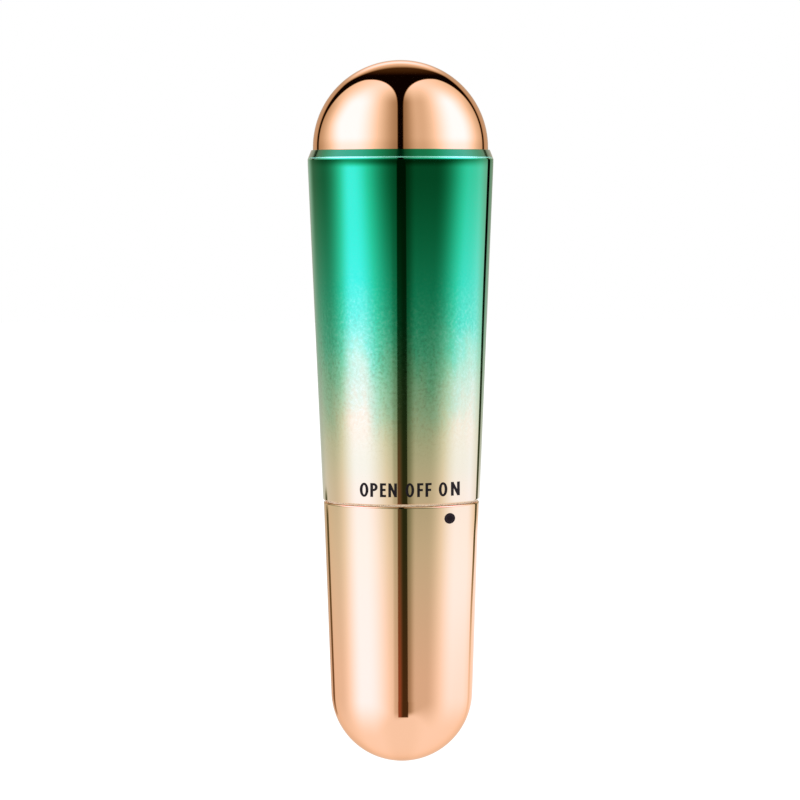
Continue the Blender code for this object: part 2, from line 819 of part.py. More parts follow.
def make_battery():
    """AA cell: jacketed can with a rolled shoulder and a positive nub."""
    profile = [
        (0, CELL_NUB_TOP),
        (CELL_NUB_RADIUS - 0.35, CELL_NUB_TOP),
        (CELL_NUB_RADIUS, CELL_NUB_TOP - 0.35),
        (CELL_NUB_RADIUS, CELL_CAN_TOP - 0.1),
        (5.3, CELL_CAN_TOP - 0.1),
        (5.6, CELL_CAN_TOP + 0.2),
        (6.6, CELL_CAN_TOP + 0.2),
        (CELL_RADIUS, CELL_CAN_TOP - 0.3),
        (CELL_RADIUS, CELL_BOTTOM + 0.5),
        (CELL_RADIUS - 0.4, CELL_BOTTOM + 0.1),
        (5.6, CELL_BOTTOM),
        (0, CELL_BOTTOM),
    ]
    return turned("battery", profile, steps=MEDIUM_STEPS)


def make_base_seal():
    """O-ring on the liner's flange. It pulls off with the base, but the base turns under it."""
    centre = FLANGE_TOP + SEAL_SECTION + 0.15
    section = [(SEAL_RADIUS + x, centre + z) for x, z in arc((0, 0), SEAL_SECTION, 90, -225, 7)]
    return turned("base_seal", section, closed=True, steps=MEDIUM_STEPS)


def main():
    for obj in list(bpy.data.objects):
        bpy.data.objects.remove(obj)
    bpy.context.scene.collection.children.link(PARTS)
    bpy.context.scene.collection.children.link(CUTTERS)
    plated_green = make_material("plated_green", (0.05, 0.55, 0.38), 0.12, 1.0)
    rose_gold = make_material("rose_gold", (0.93, 0.62, 0.45), 0.08, 1.0)
    white_plastic = make_material("white_plastic", (0.85, 0.82, 0.74), 0.45, 0.0)
    steel = make_material("steel", (0.62, 0.62, 0.64), 0.3, 1.0)
    contact_metal = make_material("contact_metal", (0.75, 0.74, 0.70), 0.2, 1.0)
    bronze = make_material("bronze", (0.6, 0.42, 0.2), 0.35, 1.0)
    copper = make_material("copper", (0.72, 0.3, 0.14), 0.35, 1.0)
    magnet = make_material("ferrite", (0.06, 0.06, 0.06), 0.7, 0.0)
    rubber = make_material("silicone", (0.8, 0.78, 0.72), 0.6, 0.0)
    foam = make_material("foam", (0.08, 0.08, 0.09), 0.9, 0.0)
    red = make_material("red_insulation", (0.6, 0.03, 0.03), 0.4, 0.0)
    black = make_material("black_insulation", (0.02, 0.02, 0.02), 0.4, 0.0)
    jacket = make_material("cell_jacket", (0.12, 0.13, 0.15), 0.3, 0.0)

    red_lead, black_lead = make_leads()
    handle = [
        finish(make_handle_shell(), plated_green),
        finish(make_dome_head(), rose_gold),
        finish(make_head_gasket(), rubber),
        finish(make_cushion_ring(), foam),
        finish(make_motor_clamp(), white_plastic),
        finish(make_clamp_screw(1, 1), steel),
        finish(make_clamp_screw(2, -1), steel),
        finish(make_chassis(), white_plastic),
        finish(make_bayonet_socket(), white_plastic),
        finish(make_motor_can(), steel),
        finish(make_motor_end_cap(), white_plastic),
        finish(make_magnet(1, 0), magnet),
        finish(make_magnet(2, 180), magnet),
        finish(bush("front_bush", BUSH_BORE, BUSH_RADIUS, CAN_FRONT - 0.8, CAN_FRONT + 1.4), bronze),
        finish(bush("rear_bush", BUSH_BORE, BUSH_RADIUS, MOTOR_BACK - 1.0, MOTOR_BACK + 1.2), bronze),
        finish(make_terminal(1, 1), contact_metal),
        finish(make_terminal(2, -1), contact_metal),
        finish(make_brush(1, 1), contact_metal),
        finish(make_brush(2, -1), contact_metal),
        finish(make_positive_contact(), contact_metal),
        finish(make_switch_contact(), contact_metal),
        finish(red_lead, red),
        finish(black_lead, black),
    ]
    rotor = [
        finish(rod("motor_shaft", SHAFT_RADIUS, SHAFT_BOTTOM, SHAFT_TOP), steel),
        finish(make_rotor_core(), steel),
        finish(make_winding(1), copper),
        finish(make_winding(2), copper),
        finish(make_winding(3), copper),
        finish(make_commutator(), copper),
        finish(make_eccentric_weight(), steel),
    ]
    base = [
        finish(make_base_cap(), rose_gold),
        finish(make_base_liner(), white_plastic),
        finish(make_base_contact(), contact_metal),
        finish(make_cell_spring(), contact_metal),
    ]
    seal = [finish(make_base_seal(), rubber)]
    cell = [finish(make_battery(), jacket)]
    groups = {"handle": handle, "rotor": rotor, "seal": seal, "base": base, "cell": cell}
    for name, members in groups.items():
        axis = bpy.data.objects.new(f"{name}_axis", None)
        PARTS.objects.link(axis)
        for member in members:
            member.parent = axis


PARTS = bpy.data.collections.new("facial_massager")
CUTTERS = bpy.data.collections.new("cutters")
main()
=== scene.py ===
"""Looks of a battery facial massager: mirror plating, printed marks and the plain parts inside."""

import math

import bmesh
import bpy
import numpy as np
from mathutils import Euler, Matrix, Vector


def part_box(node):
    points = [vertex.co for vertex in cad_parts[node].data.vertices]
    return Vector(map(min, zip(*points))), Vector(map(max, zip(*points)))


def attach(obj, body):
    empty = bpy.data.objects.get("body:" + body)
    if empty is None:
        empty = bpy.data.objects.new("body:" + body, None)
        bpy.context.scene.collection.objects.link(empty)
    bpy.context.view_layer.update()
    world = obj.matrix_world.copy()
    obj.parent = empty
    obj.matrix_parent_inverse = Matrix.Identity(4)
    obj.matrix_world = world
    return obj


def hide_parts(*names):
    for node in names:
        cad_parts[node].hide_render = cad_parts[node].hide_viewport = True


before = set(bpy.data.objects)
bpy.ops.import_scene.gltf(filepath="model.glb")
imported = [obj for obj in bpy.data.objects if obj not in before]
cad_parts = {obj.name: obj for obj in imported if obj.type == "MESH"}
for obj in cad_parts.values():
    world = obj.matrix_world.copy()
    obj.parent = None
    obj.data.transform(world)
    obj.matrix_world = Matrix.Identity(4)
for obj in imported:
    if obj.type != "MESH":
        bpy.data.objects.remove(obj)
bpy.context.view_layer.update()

MM = 0.001

# Heights and radii in millimetres, from the frame's own boxes
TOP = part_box("dome_head")[1][2] / MM
RIM_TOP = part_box("handle_shell")[1][2] / MM
RIM_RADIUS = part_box("handle_shell")[1][0] / MM
HANDLE_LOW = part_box("handle_shell")[0][2] / MM
BASE_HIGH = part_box("base_cap")[1][2] / MM
BASE_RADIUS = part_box("base_cap")[1][0] / MM + 0.07
CELL_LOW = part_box("battery")[0][2] / MM
CELL_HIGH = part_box("battery")[1][2] / MM
BASE_PULL = 120.0  # how far down the base is drawn off the handle

# Outside form
DOME_RADIUS = 14.78
DOME_SIDE = 14.66
DOME_RISE = 14.6  # the ball is a hair lower than it is wide
DOME_CENTRE = TOP - DOME_RADIUS
HANDLE_END_RADIUS = 13.14
SEAM = 44.07  # height of the seam's middle
SEAM_HALF = 0.14
BASE_END_RADIUS = 11.9
BEND_START = RIM_TOP - 3.1  # where the wall begins to turn towards the rim's edge
EDGE_HEIGHT = BEND_START + 1.75  # the rim's sharp edge, below its bevel
HANDLE_TAPER = math.atan((RIM_RADIUS - 0.21 - HANDLE_END_RADIUS) / (BEND_START - SEAM))
BASE_RISE = BASE_HIGH - BASE_END_RADIUS  # from the round end's centre to the base's edge
BASE_TAPER = math.acos(BASE_END_RADIUS / math.hypot(BASE_RADIUS, BASE_RISE)) - math.atan2(BASE_RISE, BASE_RADIUS)


def handle_radius(z):
    return HANDLE_END_RADIUS + (z - SEAM) * math.tan(HANDLE_TAPER)


def base_radius(z):
    return BASE_RADIUS - (BASE_HIGH - z) * math.tan(BASE_TAPER)


# Camera, from the photo's perspective
EYE_DISTANCE = 620.0
EYE_HEIGHT = 94.0
AIM_HEIGHT = 60.9
AIM_SIDE = -0.19
LENS = 166.3
ROLL = -0.15


# Numpy surfaces


def mesh_piece(name, points, faces, material, sharp=35):
    """A mesh object from vertices in millimetres and faces given as index arrays."""
    mesh = bpy.data.meshes.new(name)
    mesh.from_pydata((np.asarray(points) * MM).tolist(), [], [f.tolist() for f in faces])
    work = bmesh.new()
    work.from_mesh(mesh)
    bmesh.ops.remove_doubles(work, verts=work.verts, dist=0.0000005)
    bmesh.ops.dissolve_degenerate(work, edges=work.edges, dist=0.0000001)
    bmesh.ops.recalc_face_normals(work, faces=work.faces)
    work.to_mesh(mesh)
    work.free()
    mesh.shade_smooth()
    mesh.set_sharp_from_angle(angle=math.radians(sharp))
    mesh.materials.append(material)
    obj = bpy.data.objects.new(name, mesh)
    bpy.context.scene.collection.objects.link(obj)
    return obj


def grid_faces(rows, columns, wrap_rows, wrap_columns):
    """Quads that join a grid of rows by columns, wrapped round where asked."""
    i = np.arange(rows if wrap_rows else rows - 1)
    j = np.arange(columns if wrap_columns else columns - 1)
    i, j = np.meshgrid(i, j, indexing="ij")
    down, right = (i + 1) % rows, (j + 1) % columns
    corners = (i * columns + j, down * columns + j, down * columns + right, i * columns + right)
    return np.stack(corners, axis=-1).reshape(-1, 4)


def held_straight(profile, closed, near=0.12, long=0.8):
    """Adds a point close to both ends of each long straight run, so that its shading stays straight."""
    profile = np.asarray(profile, float)
    ahead = np.roll(profile, -1, axis=0)
    length = np.linalg.norm(ahead - profile, axis=1)
    if not closed:
        length[-1] = 0
    share = near / np.maximum(length, long)
    rings = np.stack([profile, profile + (ahead - profile) * share[:, None], ahead - (ahead - profile) * share[:, None]], 1)
    keep = np.stack([length >= 0, length > long, length > long], axis=1)
    return rings[keep]


def turned(name, profile, material, closed=False, around=256, sharp=35):
    """A profile of (radius, height) turned about Z: (r cos a, r sin a, z), with a running once round."""
    profile = held_straight(profile, closed)
    a = np.linspace(0, math.tau, around, endpoint=False)
    r, z = profile[:, 0][:, None], profile[:, 1][:, None]
    points = np.stack([r * np.cos(a), r * np.sin(a), z + 0 * a], axis=-1).reshape(-1, 3)
    return mesh_piece(name, points, grid_faces(len(profile), around, closed, True), material, sharp)


def tube(name, path, radius, material, sides=16):
    """A round wire: each point of the path, plus radius times the unit circle across the path there."""
    path = np.asarray(path, float)
    along = np.gradient(path, axis=0)
    along /= np.linalg.norm(along, axis=1)[:, None]
    across = np.cross(along, (0.31, 0.17, 0.94))
    across /= np.linalg.norm(across, axis=1)[:, None]
    up = np.cross(along, across)
    a = np.linspace(0, math.tau, sides, endpoint=False)[None, :, None]
    rings = path[:, None] + radius * (np.cos(a) * across[:, None] + np.sin(a) * up[:, None])
    ends = [np.repeat(path[:1, None], sides, 1), np.repeat(path[-1:, None], sides, 1)]
    points = np.concatenate([ends[0], rings, ends[1]]).reshape(-1, 3)
    return mesh_piece(name, points, grid_faces(len(path) + 2, sides, False, True), material, 50)


def arc(centre, radius, start, end, steps):
    """Points centre + radius (cos t, sin t) with t from start to end in degrees."""
    t = np.radians(np.linspace(start, end, steps + 1))
    return np.stack([centre[0] + radius * np.cos(t), centre[1] + radius * np.sin(t)], axis=-1)


def rounded(corners, closed=False, steps=6):
    """An outline through corners (x, y, fillet): each corner becomes an arc tangent to both its sides."""
    corners = [np.array(c, float) for c in corners]
    count = len(corners)
    outline = []
    for i, corner in enumerate(corners):
        here, fillet = corner[:2], corner[2]
        if fillet == 0 or (not closed and i in (0, count - 1)):
            outline.append(here[None])
            continue
        back, ahead = corners[i - 1][:2] - here, corners[(i + 1) % count][:2] - here
        back_length, ahead_length = np.linalg.norm(back), np.linalg.norm(ahead)
        back, ahead = back / back_length, ahead / ahead_length
        half = math.acos(np.clip(back @ ahead, -1, 1)) / 2
        reach = min(fillet / math.tan(half), 0.49 * back_length, 0.49 * ahead_length)
        middle = here + (back + ahead) / np.linalg.norm(back + ahead) * reach / math.cos(half)
        radius = reach * math.tan(half)
        first, last = here + back * reach - middle, here + ahead * reach - middle
        start = math.atan2(first[1], first[0])
        sweep = math.atan2(first[0] * last[1] - first[1] * last[0], first @ last)
        t = start + sweep * np.linspace(0, 1, steps + 1)
        outline.append(middle + radius * np.stack([np.cos(t), np.sin(t)], axis=-1))
    return np.concatenate(outline)


# Shader maths


class Value:
    """A shader socket with arithmetic: an expression on values adds its Math nodes."""

    def __init__(self, nodes, socket):
        self.nodes, self.socket = nodes, socket

    def math(self, operation, *others, clamp=False):
        node = self.nodes.add("ShaderNodeMath", {"operation": operation, "use_clamp": clamp})
        for place, value in enumerate((self, *others)):
            self.nodes.put(node.inputs[place], value)
        return Value(self.nodes, node.outputs[0])

    def __add__(self, other):
        return self.math("ADD", other)

    def __sub__(self, other):
        return self.math("SUBTRACT", other)

    def __rsub__(self, other):
        return self.math("MULTIPLY", -1.0).math("ADD", other)

    def __mul__(self, other):
        return self.math("MULTIPLY", other)

    def __truediv__(self, other):
        return self.math("DIVIDE", other)

    def __rtruediv__(self, other):
        return self.math("POWER", -1.0) * other

    def __pow__(self, other):
        return self.math("POWER", other)

    def __neg__(self):
        return self * -1.0

    def __abs__(self):
        return self.math("ABSOLUTE")

    __radd__ = __add__
    __rmul__ = __mul__

    def step(self, low, high):
        """A smooth step: 0 at low and 1 at high, and falling with the value where low is the greater."""
        return self.nodes.map_range(self, low, high)

    def max(self, other):
        return self.math("MAXIMUM", other)

    def min(self, other):
        return self.math("MINIMUM", other)


class Nodes:
    """Builds one node tree."""

    def __init__(self, tree):
        self.tree = tree

    def put(self, socket, value):
        if isinstance(value, Value):
            self.tree.links.new(value.socket, socket)
        else:
            socket.default_value = value

    def add(self, kind, settings=None, inputs=None):
        """A node of that type, with its settings first and then the values or links of its sockets."""
        node = self.tree.nodes.new(kind)
        for name, value in (settings or {}).items():
            if name == "ramp":
                self.fill_ramp(node, value)
            else:
                setattr(node, name, value)
        for name, value in (inputs or {}).items():
            self.put(node.inputs[name], value)
        return node

    def fill_ramp(self, node, stops):
        elements = node.color_ramp.elements
        while len(elements) < len(stops):
            elements.new(1.0)
        for element, (place, colour) in zip(elements, stops):
            element.position = place
            element.color = (*colour, 1.0) if len(colour) == 3 else colour

    def out(self, kind, output, settings=None, inputs=None):
        return Value(self, self.add(kind, settings, inputs).outputs[output])

    def position(self):
        """Object coordinates in millimetres, as three values."""
        place = self.out("ShaderNodeTexCoord", "Object")
        node = self.add("ShaderNodeSeparateXYZ", inputs={"Vector": place})
        return [Value(self, node.outputs[axis]) * 1000.0 for axis in "XYZ"]

    def vector(self, x, y, z):
        return self.out("ShaderNodeCombineXYZ", 0, inputs={"X": x, "Y": y, "Z": z})

    def map_range(self, value, low, high, smooth=True):
        """0 at low to 1 at high, held there beyond them."""
        kind = "SMOOTHSTEP" if smooth else "LINEAR"
        inputs = {0: value, 1: low, 2: high, 3: 0.0, 4: 1.0}
        return self.out("ShaderNodeMapRange", 0, {"interpolation_type": kind}, inputs)

    def noise(self, vector, scale, detail=3.0, roughness=0.5):
        """Noise from 0 to 1, with its grain 1/scale across in the vector's units."""
        inputs = {"Vector": vector, "Scale": scale, "Detail": detail, "Roughness": roughness}
        return self.out("ShaderNodeTexNoise", 0, {"noise_dimensions": "3D"}, inputs)

    def ramp(self, value, stops, interpolation="LINEAR"):
        node = self.add("ShaderNodeValToRGB", {"ramp": stops}, {"Fac": value})
        node.color_ramp.interpolation = interpolation
        return Value(self, node.outputs["Color"])

    def mix(self, factor, first, second):
        """Colours mixed by a factor."""
        node = self.add("ShaderNodeMix", {"data_type": "RGBA"})
        self.put(node.inputs[0], factor)
        for socket, colour in ((node.inputs[6], first), (node.inputs[7], second)):
            self.put(socket, colour if isinstance(colour, Value) else (*colour, 1.0))
        return Value(self, node.outputs[2])

    def bump(self, height, distance, strength=1.0):
        inputs = {"Height": height, "Distance": distance * MM, "Strength": strength}
        return self.out("ShaderNodeBump", 0, inputs=inputs)


def surface(name, paint, **constants):
    """A Principled material. paint(nodes) returns what varies, by socket; constants are set on the shader."""
    material = bpy.data.materials.new(name)
    material.use_nodes = True
    nodes = Nodes(material.node_tree)
    shader = material.node_tree.nodes["Principled BSDF"]
    for socket, value in constants.items():
        shader.inputs[socket.replace("_", " ")].default_value = value
    for socket, value in paint(nodes).items():
        nodes.put(shader.inputs[socket], value)
    return material


# Plated finishes

ROSE_GLOSS = {"Metallic": 1.0, "Specular_Tint": (1.0, 0.78, 0.62, 1.0), "Coat_Weight": 0.12, "Coat_Roughness": 0.02}


def plated_handle():
    """Green lacquer over mirror plating, sprayed thinner and thinner downwards until it is champagne gold.

    The bevel's colour is painted darker and deeper green as painted shade, and the rim's sharp edge is painted paler
    green as a painted highlight, where it is also duller.
    """

    def paint(n):
        x, y, z = n.position()
        place = n.vector(x, y, z)
        grain = n.noise(place, 2.0, 1.5, 0.6)
        grain = ((grain - 0.5) * 2.0 + 0.5).max(0.0).min(1.0)
        cloud = n.noise(n.vector(x, y, z * 0.45), 0.32, 2.0, 0.5)
        # Two strips on the front, where the tall lights' reflections fall: there the colour is shifted towards gold
        # (painted highlight tone), and lower down the grain is calmed (painted highlight smoothness).
        front = y.step(0.0, -3.0)
        across = x / HANDLE_END_RADIUS
        left_highlight_strip = across.step(-0.84, -0.62) * across.step(-0.30, -0.50) * front
        right_highlight_strip = across.step(0.36, 0.66) * front
        highlight_strips = left_highlight_strip * 3.4 + right_highlight_strip * 2.2
        speckle = (grain - 0.5) * 2.4
        drift = (cloud - 0.5) * 9.0
        spread = z.step(88.0, 73.0) * z.step(50.0, 60.0)
        height = z + (speckle + drift - highlight_strips) * spread
        share = n.map_range(height, HANDLE_LOW, RIM_TOP, smooth=False)
        colour = n.ramp(
            share,
            [
                (0.00, (0.77, 0.57, 0.36)),
                (0.05, (0.75, 0.58, 0.365)),
                (0.17, (0.64, 0.60, 0.37)),
                (0.28, (0.40, 0.61, 0.385)),
                (0.37, (0.225, 0.62, 0.38)),
                (0.43, (0.105, 0.62, 0.39)),
                (0.49, (0.043, 0.61, 0.38)),
                (0.60, (0.008, 0.60, 0.365)),
                (0.78, (0.003, 0.58, 0.325)),
                (1.00, (0.002, 0.56, 0.30)),
            ],
        )
        # Painted highlight: the rim's sharp edge line gets a paler green base colour; its roughness is raised as
        # well.
        edge = z.step(EDGE_HEIGHT - 0.12, EDGE_HEIGHT - 0.04) * z.step(EDGE_HEIGHT + 0.16, EDGE_HEIGHT + 0.08)
        # Painted shade: below, the bevel's colour is darkened and turned a deeper green, with a little more
        # roughness.
        bevel = z.step(EDGE_HEIGHT + 0.08, EDGE_HEIGHT + 0.2)
        sprayed = z.step(48.0, 66.0) * z.step(86.0, 67.0)
        # Painted highlight: the grain is weakened in the front highlight strips, low on the handle.
        highlight_calm = 1.0 - left_highlight_strip.max(right_highlight_strip) * z.step(76.0, 70.0) * 0.6
        # shade is the darkening from the spray's grain, plus painted shade on the bevel.
        shade = ((0.5 - grain) * sprayed * highlight_calm * 0.58).max(0.0) + bevel * 0.55
        lift = ((grain - 0.5) * sprayed * 0.28).max(0.0)
        # Painted shade on the bevel.
        colour = n.mix(bevel * 0.8, colour, (0.001, 0.50, 0.17))
        colour = n.mix(shade, colour, (0.0, 0.0, 0.0))
        colour = n.mix(lift, colour, (1.0, 1.0, 1.0))
        # Painted highlight on the rim's sharp edge.
        colour = n.mix(edge, colour, (0.28, 0.85, 0.66))
        haze = 0.03 + sprayed * (grain * 0.05 + 0.01) + edge * 0.45 + bevel * 0.12
        return {"Base Color": colour, "Roughness": haze}

    return surface("green_to_gold_plating", paint, Metallic=1.0, Coat_Weight=1.0, Coat_IOR=1.25, Coat_Roughness=0.02)


def plated_base():
    """Champagne gold plating that warms to rose gold towards the round end."""

    def paint(n):
        x, y, z = n.position()
        share = n.map_range(z, 0.0, SEAM, smooth=False)
        colour = n.ramp(
            share,
            [
                (0.00, (0.99, 0.57, 0.37)),
                (0.35, (0.98, 0.58, 0.38)),
                (0.62, (0.90, 0.58, 0.375)),
                (0.85, (0.82, 0.58, 0.365)),
                (1.00, (0.77, 0.57, 0.36)),
            ],
        )
        ripple = n.noise(n.vector(x, y, z * 0.3), 0.25, 2.0, 0.4)
        return {"Base Color": colour, "Roughness": 0.03 + ripple * 0.02}

    return surface("champagne_to_rose_plating", paint, **ROSE_GLOSS)


def plated_dome():
    """Bright rose gold plating, with the faintest ripple of a moulding under it."""

    def paint(n):
        x, y, z = n.position()
        ripple = n.noise(n.vector(x, y, z), 0.15, 2.0, 0.4)
        colour = n.mix(ripple, (0.96, 0.555, 0.335), (0.96, 0.565, 0.345))
        return {"Base Color": colour, "Roughness": 0.025 + ripple * 0.015}

    return surface("rose_gold_plating", paint, **ROSE_GLOSS)


def printing_ink():
    """Black pad-printed ink, slightly uneven at its edges."""

    def paint(n):
        x, y, z = n.position()
        mottle = n.noise(n.vector(x, y, z), 2.5, 3.0, 0.6)
        return {
            "Base Color": n.mix(mottle, (0.004, 0.003, 0.004), (0.012, 0.009, 0.010)),
            "Roughness": 0.45 + mottle * 0.2,
        }

    return surface("printing_ink", paint, Specular_IOR_Level=0.12)


# Plain finishes of the inner parts


def moulded(name, light, dark, gloss=0.42):
    """Moulded plastic: slight colour drift, and the fine grain of a sparked mould in the bump."""

    def paint(n):
        x, y, z = n.position()
        place = n.vector(x, y, z)
        drift = n.noise(place, 0.12, 3.0, 0.5)
        grain = n.noise(place, 7.0, 2.0, 0.5)
        return {
            "Base Color": n.mix(drift, dark, light),
            "Roughness": gloss + grain * 0.12,
            "Normal": n.bump(grain, 0.02, 0.5),
        }

    return surface(name, paint)


def liner_moulding():
    """White plastic, with the flange at the liner's top tinted cream like the plating beside it."""

    def paint(n):
        x, y, z = n.position()
        drift = n.noise(n.vector(x, y, z), 0.12, 3.0, 0.5)
        white = n.mix(drift, (0.84, 0.82, 0.77), (0.90, 0.88, 0.83))
        return {"Base Color": n.mix(z.step(43.6, 43.9), white, (0.93, 0.80, 0.60)), "Roughness": 0.36 + drift * 0.1}

    return surface("liner_moulding", paint)


def metal(name, light, dark, gloss=0.25, grain_scale=4.0, lay=0.08):
    """Drawn or stamped metal: fine scratches along its height, and slight tarnish."""

    def paint(n):
        x, y, z = n.position()
        scratch = n.noise(n.vector(x, y, z * lay), grain_scale, 3.0, 0.6)
        tarnish = n.noise(n.vector(x, y, z), 0.4, 3.0, 0.5)
        return {
            "Base Color": n.mix(tarnish, dark, light),
            "Roughness": gloss + scratch * 0.15,
            "Normal": n.bump(scratch, 0.01, 0.4),
        }

    return surface(name, paint, Metallic=1.0)


def winding_copper():
    """Enamelled wire laid round the coil: thin turns as ridges across the coil's length."""

    def paint(n):
        x, y, z = n.position()
        turns = n.out("ShaderNodeTexWave", 1, {"bands_direction": "Z"}, {"Vector": n.vector(x, y, z), "Scale": 1.1})
        sheen = n.noise(n.vector(x, y, z), 1.2, 2.0, 0.5)
        return {
            "Base Color": n.mix(sheen, (0.45, 0.13, 0.04), (0.80, 0.34, 0.14)),
            "Roughness": 0.28 + sheen * 0.15,
            "Normal": n.bump(turns, 0.08, 0.8),
        }

    return surface("winding_copper", paint, Metallic=0.9, Coat_Weight=0.5)


def dull(name, light, dark, grain_scale, relief, rough=0.8):
    """Matte material with its own grain: sintered magnet, foam or silicone."""

    def paint(n):
        x, y, z = n.position()
        grain = n.noise(n.vector(x, y, z), grain_scale, 4.0, 0.6)
        return {
            "Base Color": n.mix(grain, dark, light),
            "Roughness": rough - grain * 0.15,
            "Normal": n.bump(grain, relief, 0.7),
        }

    return surface(name, paint)


def cell_sleeve():
    """The cell's shrunk sleeve: dark, with a plain copper band at the positive end and bare steel at both ends."""

    def paint(n):
        x, y, z = n.position()
        band = z.step(CELL_HIGH - 12.05, CELL_HIGH - 11.95)
        bare = z.step(CELL_HIGH - 1.95, CELL_HIGH - 1.85).max(z.step(CELL_LOW + 0.75, CELL_LOW + 0.65))
        mottle = n.noise(n.vector(x, y, z), 1.5, 2.0, 0.5)
        sleeve = n.mix(band, (0.018, 0.020, 0.024), (0.55, 0.22, 0.08))
        return {
            "Base Color": n.mix(bare, sleeve, (0.66, 0.65, 0.63)),
            "Metallic": bare.max(band * 0.8),
            "Roughness": 0.24 + mottle * 0.12,
        }

    return surface("cell_sleeve", paint, Coat_Weight=0.3)


# Outer pieces


def make_handle(material):
    """The tapered handle: outside from the seam up to the rim's bevel, and back down its bore."""
    low = SEAM + SEAM_HALF
    turn = 44.0
    taper = math.degrees(HANDLE_TAPER)
    centre = (
        handle_radius(BEND_START) - turn * math.cos(HANDLE_TAPER),
        BEND_START + turn * math.sin(HANDLE_TAPER),
    )
    bend = arc(centre, turn, -taper, -0.4, 12)
    inside = 1.5
    outline = rounded(
        [
            (10.85, low, 0.1),
            (handle_radius(low), low, 0.2),
            *[(r, z, 0) for r, z in bend[:-1]],
            (*bend[-1], 0.11),
            (14.95, RIM_TOP, 0.12),
            (14.86, RIM_TOP, 0.05),
            (14.86, 100.3, 0),
            (14.0, 100.3, 0),
            (14.0, 94.8, 0),
            (handle_radius(94.4) - inside, 94.4, 0),
            (handle_radius(57.8) - inside, 57.8, 0),
            (11.45, 57.2, 0),
            (11.45, 45.4, 0),
            (10.85, 45.4, 0),
        ],
        closed=True,
        steps=8,
    )
    obj = turned("handle_body", outline, material, closed=True, around=320)
    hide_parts("handle_shell")
    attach(obj, "handle")
    return obj


def make_dome(material):
    """The mirror dome: a half ball with its skirt in the handle's rim, and its hollow."""
    shoulder, skirt_low = 101.2, 96.9
    outside = arc((0, DOME_CENTRE), DOME_RADIUS, 90, 0, 72)
    outside = (outside - (0, DOME_CENTRE)) * (DOME_SIDE / DOME_RADIUS, DOME_RISE / DOME_RADIUS) + (0, DOME_CENTRE)
    inside = arc((0, DOME_CENTRE), DOME_RADIUS - 1.5, 21, 90, 24)
    skirt = rounded(
        [(DOME_SIDE, DOME_CENTRE, 0), (DOME_SIDE, shoulder, 0.1), (13.75, shoulder, 0), (13.75, skirt_low, 0.2),
         (12.4, skirt_low, 0.2), (12.4, DOME_CENTRE + 4.7, 0)]
    )
    obj = turned("mirror_dome", np.concatenate([outside, skirt[1:], inside]), material, around=320)
    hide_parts("dome_head")
    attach(obj, "handle")
    return obj


def make_base(material):
    """The twist base: a tapered cup, its wall tangent to its round end."""
    tilt = math.degrees(BASE_TAPER)
    high = SEAM - SEAM_HALF
    end = BASE_END_RADIUS
    wall = 1.5
    inside = arc((0, end), end - wall, -90, -tilt, 32)
    outside = arc((0, end), end, -tilt, -90, 72)
    rim = rounded([(*inside[-1], 0), (base_radius(high) - wall, high, 0.2), (base_radius(high), high, 0.22),
                   (*outside[0], 0)])
    obj = turned("twist_base", np.concatenate([inside, rim[1:], outside[1:]]), material, around=320)
    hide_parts("base_cap")
    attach(obj, "base")
    return obj


# Printed marks


STROKE = 0.45
LETTER_HEIGHT = 2.3


def bar(x0, y0, x1, y1, width=STROKE, pieces=6):
    """A straight stroke: the line from (x0, y0) to (x1, y1) swept across by width, as a strip of quads."""
    start, end = np.array((x0, y0)), np.array((x1, y1))
    across = np.array((y0 - y1, x1 - x0)) / math.hypot(x1 - x0, y1 - y0) * width / 2
    t = np.linspace(0, 1, pieces + 1)[:, None]
    line = start + (end - start) * t
    return np.stack([line - across, line + across], axis=1)


def upright(x, low=0.0, high=LETTER_HEIGHT):
    return bar(x, low, x, high)


def level(y, left, right):
    return bar(left, y, right, y, STROKE * 0.85)


def ellipse_stroke(x, y, half_width, half_height, start=0, end=360, steps=40):
    """A curved stroke between two ellipses whose half axes differ by the stroke's width."""
    t = np.radians(np.linspace(start, end, steps + 1))
    ring = [
        np.stack([x + (half_width - d) * np.cos(t), y + (half_height - d * 0.85) * np.sin(t)], axis=-1)
        for d in (0, STROKE)
    ]
    return np.stack(ring, axis=1)


def letter_o(x, width=1.42):
    return [ellipse_stroke(x + width / 2, LETTER_HEIGHT / 2, width / 2, LETTER_HEIGHT / 2 + 0.03)]


def letter_p(x, width=1.21):
    bowl = LETTER_HEIGHT * 0.29
    round_start = x + width - bowl
    half = STROKE * 0.425
    return [
        upright(x + STROKE / 2),
        level(LETTER_HEIGHT - half, x, round_start),
        level(LETTER_HEIGHT - 2 * bowl + half, x, round_start),
        ellipse_stroke(round_start, LETTER_HEIGHT - bowl, bowl, bowl, -90, 90, 16),
    ]


def letter_e(x, width=1.0):
    half = STROKE * 0.425
    return [
        upright(x + STROKE / 2),
        level(half, x, x + width),
        level(LETTER_HEIGHT * 0.52, x, x + width * 0.92),
        level(LETTER_HEIGHT - half, x, x + width),
    ]


def letter_f(x, width=1.02):
    return [
        upright(x + STROKE / 2),
        level(LETTER_HEIGHT * 0.50, x, x + width * 0.92),
        level(LETTER_HEIGHT - STROKE * 0.425, x, x + width),
    ]


def letter_n(x, width=1.42):
    half = STROKE / 2
    return [
        upright(x + half),
        upright(x + width - half),
        bar(x + half, LETTER_HEIGHT - half * 0.4, x + width - half, half * 0.4, STROKE * 0.9),
    ]


